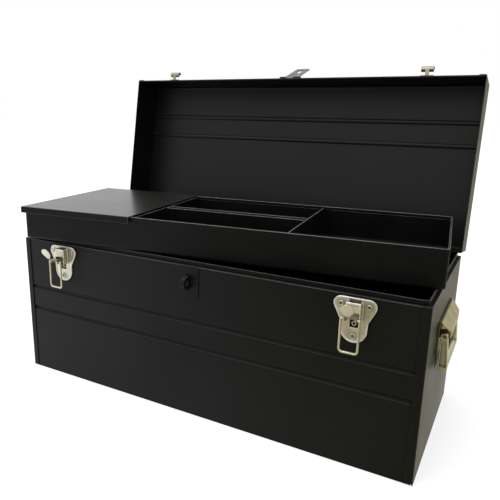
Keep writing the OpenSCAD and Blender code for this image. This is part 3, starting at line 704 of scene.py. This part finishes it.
def only_mirrored(card):
    """Leaves a card to glossy reflections alone."""
    card.visible_camera = False
    card.visible_diffuse = False
    card.visible_transmission = False
    card.visible_shadow = False


def lay_floor(settings):
    deselect_all()
    bpy.ops.mesh.primitive_plane_add(size=FLOOR_SIZE, location=(0, 0, FLOOR_LEVEL))
    floor = bpy.context.object
    floor.name = "studio_floor"
    mat, tree, surface = stage_material("studio_floor")
    matte = add_node(
        tree, "ShaderNodeBsdfDiffuse", (0, 0), Color=opaque(settings.floor_colour))
    lift = maths(tree, (0, -400), "MULTIPLY", background_rays(tree), FLOOR_GLOW)
    glow = add_node(tree, "ShaderNodeEmission", (0, -200), Color=WHITE, Strength=lift)
    both = add_node(
        tree, "ShaderNodeAddShader", (300, 0), (matte.outputs["BSDF"], glow.outputs["Emission"]))
    feed(tree, surface, both.outputs["Shader"])
    floor.data.materials.append(mat)


def light_surround(settings):
    """Even soft light, seen as plain white."""
    world = bpy.data.worlds.new("studio_surround")
    bpy.context.scene.world = world
    world.use_nodes = True
    tree = world.node_tree
    tree.nodes.clear()
    light = add_node(
        tree, "ShaderNodeBackground", (200, 100), Color=WHITE, Strength=settings.surround)
    white = add_node(tree, "ShaderNodeBackground", (200, -100), Color=WHITE)
    mix = add_node(
        tree, "ShaderNodeMixShader", (400, 0),
        (background_rays(tree), light.outputs["Background"], white.outputs["Background"]))
    add_node(tree, "ShaderNodeOutputWorld", (600, 0), Surface=mix.outputs["Shader"])


def lay_board(settings):
    """Tinted board under the front and right end, white at the left and dim far forward."""
    mat, tree, surface = stage_material("studio_board")
    where = add_node(tree, "ShaderNodeTexCoord", (-900, 0)).outputs["Object"]
    across = add_node(
        tree, "ShaderNodeVectorMath", (-700, 0), (where, BOARD_ACROSS), operation="DOT_PRODUCT")
    fade = ramp(
        tree, (-500, 0), across.outputs["Value"], BOARD_FADE, interpolation_type="SMOOTHSTEP")
    colour = lay_over(tree, (-300, 0), fade, WHITE, opaque(settings.board_colour))
    parts = add_node(tree, "ShaderNodeSeparateXYZ", (-700, -250), Vector=where)
    level = ramp(
        tree, (-500, -250), parts.outputs["Y"], BOARD_DIM, (BOARD_DIM_LEVEL, 1.0),
        interpolation_type="SMOOTHSTEP")
    tone = add_node(tree, "ShaderNodeEmission", (0, 0), Color=colour, Strength=level)
    feed(tree, surface, tone.outputs["Emission"])

    deselect_all()
    bpy.ops.mesh.primitive_plane_add(size=BOARD_SIZE, location=BOARD_PLACE)
    card = bpy.context.object
    card.name = "studio_board"
    bpy.ops.object.mode_set(mode="EDIT")
    bpy.ops.mesh.select_all(action="SELECT")
    bpy.ops.mesh.bisect(plane_co=BOARD_EDGE, plane_no=BOARD_ACROSS, clear_inner=True)
    bpy.ops.object.mode_set(mode="OBJECT")
    bpy.ops.object.transform_apply(location=True)
    card.data.materials.append(mat)
    only_mirrored(card)


def stand_side_card(settings):
    """Tinted card beside the right end, with its far edge turned up."""
    mat, tree, surface = stage_material("studio_side_card")
    tone = add_node(tree, "ShaderNodeEmission", (0, 0), Color=opaque(settings.side_colour))
    feed(tree, surface, tone.outputs["Emission"])

    deselect_all()
    bpy.ops.mesh.primitive_plane_add(size=1.0, location=CARD_PLACE)
    flap = bpy.context.object
    flap.name = "studio_side_card"
    bpy.ops.transform.resize(value=CARD_SPAN)
    bpy.ops.object.transform_apply(location=True, scale=True)
    far = max(vertex.co.y for vertex in flap.data.vertices)
    for vertex in flap.data.vertices:
        vertex.select = vertex.co.y > far - SAME_EDGE
    for edge in flap.data.edges:
        edge.select = all(flap.data.vertices[i].select for i in edge.vertices)
    for face in flap.data.polygons:
        face.select = False
    bpy.ops.object.mode_set(mode="EDIT")
    bpy.ops.mesh.select_mode(type="EDGE")
    bpy.ops.mesh.extrude_region_move(TRANSFORM_OT_translate={"value": (0.0, 0.0, CARD_RISE)})
    bpy.ops.object.mode_set(mode="OBJECT")
    flap.data.materials.append(mat)
    only_mirrored(flap)


def hang_softbox(settings):
    lamp = bpy.data.lights.new("overhead_softbox", "AREA")
    lamp.shape = "RECTANGLE"
    lamp.size, lamp.size_y = SOFTBOX_SIZE
    lamp.energy = settings.key
    softbox = bpy.data.objects.new("overhead_softbox", lamp)
    softbox.location = SOFTBOX_PLACE
    aim = Vector(SOFTBOX_AIM) - softbox.location
    softbox.rotation_euler = aim.to_track_quat("-Z", "Y").to_euler()
    bpy.context.scene.collection.objects.link(softbox)


def set_camera(settings):
    lens = bpy.data.cameras.new("photo_camera")
    lens.sensor_fit = "HORIZONTAL"
    lens.sensor_width = SENSOR_MM
    lens.lens = settings.lens
    lens.shift_x, lens.shift_y = CAMERA_SHIFT
    lens.clip_start = CAMERA_NEAR
    lens.dof.use_dof = False
    camera = bpy.data.objects.new("photo_camera", lens)
    camera.location = CAMERA_PLACE
    camera.rotation_euler = [math.radians(turn) for turn in CAMERA_TURN_DEG]
    bpy.context.scene.collection.objects.link(camera)
    bpy.context.scene.camera = camera


# Operators

class TOOLCASE_OT_paint_body(bpy.types.Operator):
    """Sprays the body sheets, rim and staple black"""
    bl_idname = "toolcase.paint_body"
    bl_label = "Paint Body"

    def execute(self, context):
        paint = context.scene.toolcase_paint
        coat_nodes(BODY_PAINT, painted_sheet("body_paint", paint, BODY_CLOUDS, edge=0.4))
        coat_nodes(END_PAINT, painted_sheet(
            "end_paint", paint, BODY_CLOUDS, duller=-0.03, edge=0.3, even=0.0))
        # Strong rim edges are mostly a painted highlight
        coat_nodes(RIM_PAINT, painted_sheet(
            "rim_paint", paint, BODY_CLOUDS, duller=-0.08, gloss=0.8, edge=1.6, even=0.7,
            dust=0.1))
        return {"FINISHED"}


class TOOLCASE_OT_paint_lid(bpy.types.Operator):
    """Sprays the lid black, inside and out"""
    bl_idname = "toolcase.paint_lid"
    bl_label = "Paint Lid"

    def execute(self, context):
        paint = context.scene.toolcase_paint
        coat_nodes(LID_PAINT, painted_sheet(
            "lid_paint", paint, LID_CLOUDS, duller=0.02, gloss=1.65, edge=0.3, dust=0.0))
        coat_nodes(LID_CAPS, painted_sheet("lid_cap_paint", paint, LID_CLOUDS, dust=0.0))
        return {"FINISHED"}


class TOOLCASE_OT_paint_tray(bpy.types.Operator):
    """Sprays the tray, its dividers and its cover black"""
    bl_idname = "toolcase.paint_tray"
    bl_label = "Paint Tray"

    def execute(self, context):
        paint = context.scene.toolcase_paint
        # Strong, even tray edges are a painted highlight along the rims
        coat_nodes(TRAY_PAINT, painted_sheet(
            "tray_paint", paint, TRAY_CLOUDS, duller=-0.04, radius=1.3, gloss=0.8, edge=3.0,
            even=1.0, dust=0.03))
        # The cover's dust also paints a faint sheen on its top
        coat_nodes(COVER_PAINT, painted_sheet(
            "cover_paint", paint, COVER_CLOUDS, duller=-0.04, gloss=0.8, even=0.9, dust=0.12,
            polish=5.0))
        return {"FINISHED"}


class TOOLCASE_OT_plate_latches(bpy.types.Operator):
    """Nickel-plates the latches and keepers"""
    bl_idname = "toolcase.plate_latches"
    bl_label = "Plate Latches"

    def execute(self, context):
        nickel = context.scene.toolcase_metal.nickel
        coat_nodes(LATCH_NICKEL, plated_metal(
            "latch_nickel", nickel, roughness=0.27, radius=0.0007, grain=LATCH_GRAIN,
            tarnish=0.75, reach=0.004, deepest=0.55))
        # Wide, even, strong edges paint a highlight on the plates' rims, and a deep reach paints
        # shade in their pits
        coat_nodes(LATCH_PLATES, plated_metal(
            "latch_plate_nickel", nickel, roughness=0.28, radius=0.003, grain=LATCH_GRAIN,
            tarnish=0.75, reach=0.0045, even=1.0, shine=2.0, deepest=0.62, full=0.95))
        # Darker nickel and a wide reach paint shade on the keepers' undersides
        coat_nodes(KEEPERS, plated_metal(
            "keeper_nickel", tinted(nickel, KEEPER_SHADE_TINT), roughness=0.24, radius=0.0006,
            grain=LATCH_GRAIN, tarnish=0.68, reach=0.02, deepest=0.75))
        return {"FINISHED"}


class TOOLCASE_OT_plate_handles(bpy.types.Operator):
    """Nickel-plates the end handles and leaves the rods and hasp bare"""
    bl_idname = "toolcase.plate_handles"
    bl_label = "Plate Handles"

    def execute(self, context):
        metal = context.scene.toolcase_metal
        # Darker, warmer nickel paints warm shade on the handle plates
        coat_nodes(HANDLE_PLATES, plated_metal(
            "handle_plate_nickel", tinted(metal.nickel, HANDLE_SHADE_TINT), roughness=0.28,
            radius=0.0006, grain=HANDLE_GRAIN, tarnish=0.7, reach=0.01))
        coat_nodes(HANDLE_BAILS, plated_metal(
            "handle_bail_nickel", metal.nickel, roughness=0.26, radius=0.0012,
            grain=HANDLE_GRAIN, tarnish=0.75, reach=0.003))
        coat_nodes(BARE_STEEL, plated_metal(
            "bare_steel", metal.steel, roughness=0.34, radius=0.0005, grain=STEEL_GRAIN,
            tarnish=0.7, reach=0.004))
        return {"FINISHED"}


class TOOLCASE_OT_rivets(bpy.types.Operator):
    """Sets rivet heads on the latches, keepers, handles and hinge"""
    bl_idname = "toolcase.rivets"
    bl_label = "Rivets"

    def execute(self, context):
        nickel = bpy.data.materials["latch_nickel"]
        black = bpy.data.materials["body_paint"]
        lid = next(joint for joint in frame["joints"] if joint["name"] == "lid_hinge")
        lid_turn = Matrix.Rotation(-math.radians(lid["range_deg"][1]), 3, "X")
        front = Vector((0, -1, 0))

        def outward(solid):
            return Vector((math.copysign(1, solid[0].x), 0, 0))

        rivet_set("keeper_rivet_heads", "keeper_rivets", lid_turn @ front, "lid",
                  domed_head, nickel)
        rivet_set("handle_rivet_heads", "handle_rivets", outward, "case",
                  domed_head, nickel)
        rivet_set("hinge_rivet_heads", "hinge_rivets", -front, "case",
                  domed_head, black)
        rivet_set("lid_hinge_rivet_heads", "lid_hinge_rivets", lid_turn @ -front, "lid",
                  domed_head, black)
        rivet_set("latch_rivet_heads", "latch_rivets", front, "case",
                  tubular_head, nickel)
        return {"FINISHED"}


class TOOLCASE_OT_studio(bpy.types.Operator):
    """Sets the pale floor, soft light and camera"""
    bl_idname = "toolcase.studio"
    bl_label = "Studio"

    def execute(self, context):
        settings = context.scene.toolcase_studio
        lay_floor(settings)
        light_surround(settings)
        lay_board(settings)
        stand_side_card(settings)
        hang_softbox(settings)
        set_camera(settings)
        context.scene.view_settings.view_transform = "Standard"
        return {"FINISHED"}


class TOOLCASE_PT_panel(bpy.types.Panel):
    """Finishing steps of the tool case"""
    bl_idname = "TOOLCASE_PT_panel"
    bl_label = "Tool Case"
    bl_space_type = "VIEW_3D"
    bl_region_type = "UI"
    bl_category = "Tool Case"

    def draw(self, context):
        layout = self.layout
        scene = context.scene
        for group in (scene.toolcase_paint, scene.toolcase_metal, scene.toolcase_studio):
            box = layout.box()
            for name in group.bl_rna.properties.keys():
                if name not in {"rna_type", "name"}:
                    box.prop(group, name)
        for step in STEPS:
            layout.operator(step.bl_idname)


SETTINGS = (ToolCasePaint, ToolCaseMetal, ToolCaseStudio)
STEPS = (
    TOOLCASE_OT_paint_body, TOOLCASE_OT_paint_lid, TOOLCASE_OT_paint_tray,
    TOOLCASE_OT_plate_latches, TOOLCASE_OT_plate_handles, TOOLCASE_OT_rivets, TOOLCASE_OT_studio)
CLASSES = SETTINGS + STEPS + (TOOLCASE_PT_panel,)


def register():
    for cls in CLASSES:
        bpy.utils.register_class(cls)
    bpy.types.Scene.toolcase_paint = PointerProperty(type=ToolCasePaint)
    bpy.types.Scene.toolcase_metal = PointerProperty(type=ToolCaseMetal)
    bpy.types.Scene.toolcase_studio = PointerProperty(type=ToolCaseStudio)


def unregister():
    del bpy.types.Scene.toolcase_studio
    del bpy.types.Scene.toolcase_metal
    del bpy.types.Scene.toolcase_paint
    for cls in reversed(CLASSES):
        bpy.utils.unregister_class(cls)


def main():
    register()
    bpy.ops.toolcase.paint_body()
    bpy.ops.toolcase.paint_lid()
    bpy.ops.toolcase.paint_tray()
    bpy.ops.toolcase.plate_latches()
    bpy.ops.toolcase.plate_handles()
    bpy.ops.toolcase.rivets()
    bpy.ops.toolcase.studio()


if __name__ == "__main__":
    main()
